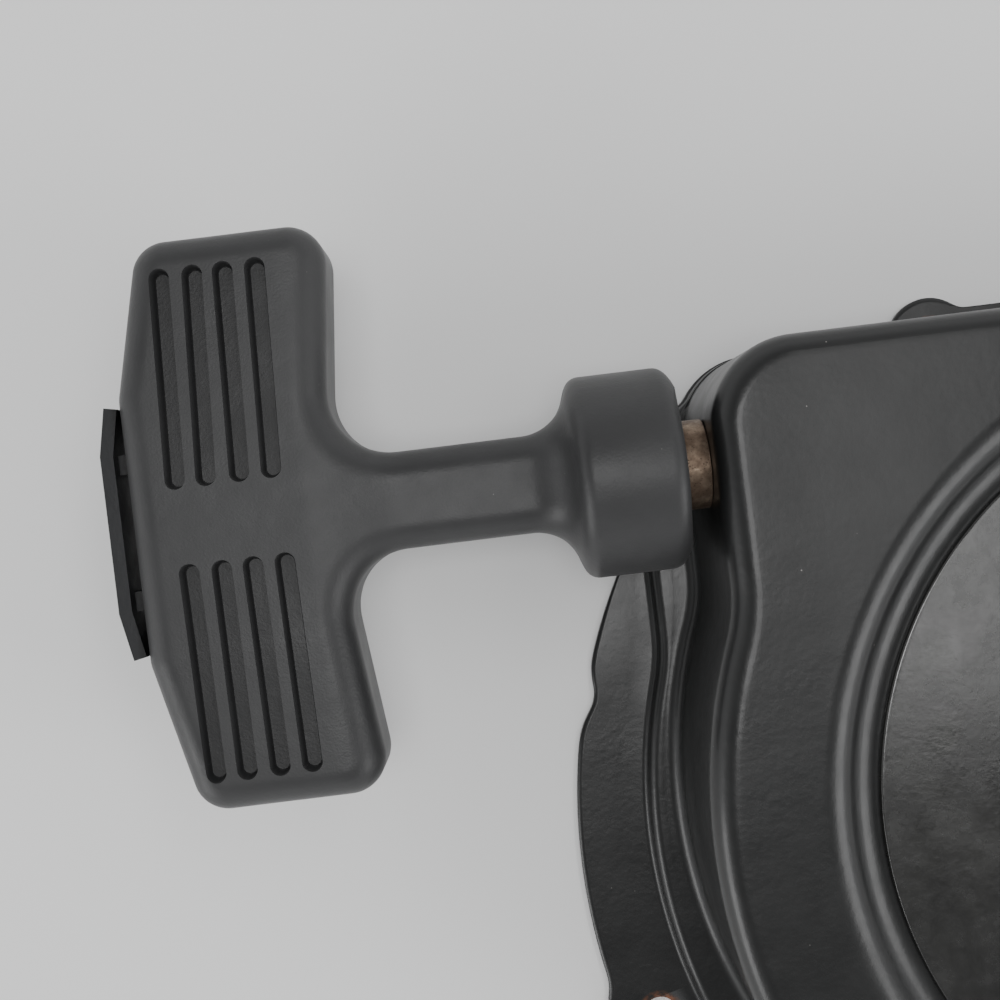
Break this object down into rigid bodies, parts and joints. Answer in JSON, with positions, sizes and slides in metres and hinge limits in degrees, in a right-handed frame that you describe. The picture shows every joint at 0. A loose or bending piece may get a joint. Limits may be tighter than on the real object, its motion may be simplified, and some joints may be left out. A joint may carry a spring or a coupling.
{
  "type": "recoil starter",
  "caption": "Recoil pull starter: stamped flanged housing with a sprung rope reel and swinging pawls, guide bush, and a rubber T-handle on the rope.",
  "frame": {"origin": "on the reel axis, in the plane of the mounting flange's underside", "axes": "+Z along the reel axis out through the housing's face, rope line parallel to X with the handle on the -X side, +Y from the reel axis towards the rope line"},
  "size_m": [0.274, 0.214, 0.0401],
  "materials": {
    "black_steel": "semi-gloss black paint over pressed steel",
    "badge": "gloss blank disc",
    "plated_steel": "zinc plated",
    "zinc_steel": "passivated stamped steel",
    "spring_steel": "blued spring strip",
    "pawl_steel": "hardened sintered steel",
    "bronze": "oil-filled sintered bronze",
    "reel_plastic": "glass-filled nylon",
    "nylon": "natural nylon",
    "rope": "braided polyester cord",
    "rubber": "matte moulded rubber",
    "cap_plastic": "satin hard plastic"
  },
  "bodies": {
    "housing": {"housing_shell": "black_steel", "badge_disc": "badge", "centre_post": "plated_steel", "thrust_washer": "nylon", "brake_spring": "spring_steel", "post_washer": "plated_steel", "retaining_nut": "plated_steel", "spring_anchor": "plated_steel", "recoil_spring": "spring_steel", "rope_bush": "bronze", "rope_lead": "rope"},
    "reel": {"reel": "reel_plastic", "reel_bush": "nylon", "rope_wound": "rope", "reel_knot": "rope", "pawl_pins": "plated_steel", "pawl_clips": "spring_steel"},
    "guide": {"pawl_guide": "zinc_steel"},
    "pawl_a": {"pawl_a": "pawl_steel"},
    "pawl_b": {"pawl_b": "pawl_steel"},
    "rope_end": {"rope_run": "rope", "rope_tail": "rope", "handle_knot": "rope", "knot_washer": "plated_steel"},
    "handle": {"grip": "rubber", "grip_sleeve": "cap_plastic", "rear_cap": "cap_plastic"}
  },
  "joints": [
    {"name": "reel_spin", "type": "hinge", "parent": "housing", "child": "reel", "pos_m": [0, 0, 0.0224], "axis": [0, 0, 1], "range_deg": [0, 1180], "stiffness_Nm_per_rad": 0.03, "springref_deg": -720.21, "deforming": ["recoil_spring"]},
    {"name": "guide_turn", "type": "hinge", "parent": "reel", "child": "guide", "pos_m": [0, 0, 0.0083], "axis": [0, 0, -1], "range_deg": [0, 30]},
    {"name": "pawl_a_swing", "type": "hinge", "parent": "reel", "child": "pawl_a", "pos_m": [0.025, 0, 0.0129], "axis": [0, 0, -1], "range_deg": [0, 28.1]},
    {"name": "pawl_b_swing", "type": "hinge", "parent": "reel", "child": "pawl_b", "pos_m": [-0.025, 0, 0.0129], "axis": [0, 0, -1], "range_deg": [0, 28.1]},
    {"name": "handle_pull", "type": "slide", "parent": "housing", "child": "rope_end", "axis": [-1, 0, 0], "range_m": [0, 1.02], "deforming": ["rope_run"]},
    {"name": "handle_twist", "type": "hinge", "parent": "rope_end", "child": "handle", "pos_m": [-0.152, 0.0572, 0.0244], "axis": [-1, 0, 0], "range_deg": [-180, 180]}
  ],
  "couplings": [
    {"joint": "handle_pull", "follows": "reel_spin", "m_per_rad": 0.0494},
    {"joint": "pawl_a_swing", "follows": "guide_turn", "ratio": 0.93333},
    {"joint": "pawl_b_swing", "follows": "guide_turn", "ratio": 0.93333}
  ]
}
